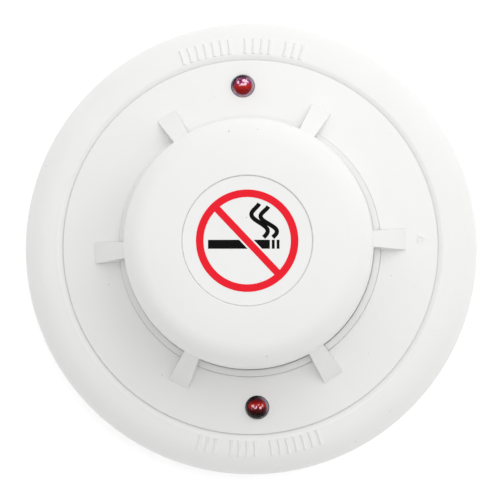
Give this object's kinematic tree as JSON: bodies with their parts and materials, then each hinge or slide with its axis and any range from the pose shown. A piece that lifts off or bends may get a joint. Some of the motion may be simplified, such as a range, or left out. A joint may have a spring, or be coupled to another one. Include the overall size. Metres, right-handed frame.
{
  "type": "heat detector",
  "caption": "Round ceiling heat detector: twist-lock head with a raised ribbed cap, entry slit and red lamps, in a mounting base with a rounded ring.",
  "frame": {"origin": "centre of the base's back face, the face that lies on the ceiling in use", "axes": "+Z out of the front face, +X towards the triangular alignment mark on the head, +Y towards the first indicator lamp"},
  "size_m": [0.102, 0.102, 0.0452],
  "materials": {
    "housing_white": "fine satin moulded ABS",
    "label_white": "smooth printed polyester",
    "lamp_red": "clear red epoxy",
    "spring_bronze": "rolled phosphor bronze",
    "plated_steel": "nickel plated",
    "screw_steel": "zinc plated",
    "rivet_brass": "turned brass",
    "board_green": "solder mask over glass epoxy",
    "package_black": "moulded epoxy",
    "capacitor_tan": "moulded epoxy",
    "resistor_ceramic": "glazed chip",
    "bead_glass": "glass-coated bead on tinned wires",
    "seal_foam": "closed-cell foam",
    "chamber_black": "dull moulded",
    "screen_steel": "etched stainless sheet",
    "eye_dark": "smooth tinted epoxy"
  },
  "bodies": {
    "base": {"mounting_base": "housing_white", "contact_spring_1": "spring_bronze", "contact_spring_2": "spring_bronze", "contact_spring_3": "spring_bronze", "contact_spring_4": "spring_bronze", "terminal_screws": "screw_steel", "wire_clamps": "plated_steel", "spring_rivets": "rivet_brass", "lock_spring": "plated_steel"},
    "head": {"front_cover": "housing_white", "sensor_cap": "housing_white", "label_plate": "label_white", "indicator_lamp_1": "lamp_red", "indicator_lamp_2": "lamp_red", "rear_cover": "housing_white", "contact_blade_1": "plated_steel", "contact_blade_2": "plated_steel", "contact_blade_3": "plated_steel", "contact_blade_4": "plated_steel", "blade_rivets": "rivet_brass", "case_screws": "screw_steel", "circuit_board": "board_green", "control_chip": "package_black", "tantalum_capacitors": "capacitor_tan", "bridge_rectifier": "package_black", "chip_resistors": "resistor_ceramic", "thermistor_1": "bead_glass", "thermistor_2": "bead_glass", "air_seal": "seal_foam", "chamber_base": "chamber_black", "labyrinth": "chamber_black", "insect_screen": "screen_steel", "infrared_emitter": "eye_dark", "photodiode": "eye_dark", "screening_can": "plated_steel"}
  },
  "joints": [
    {"name": "head_twist", "type": "hinge", "parent": "base", "child": "head", "pos_m": [0, 0, 0.008], "axis": [0, 0, 1], "range_deg": [0, 20]}
  ]
}
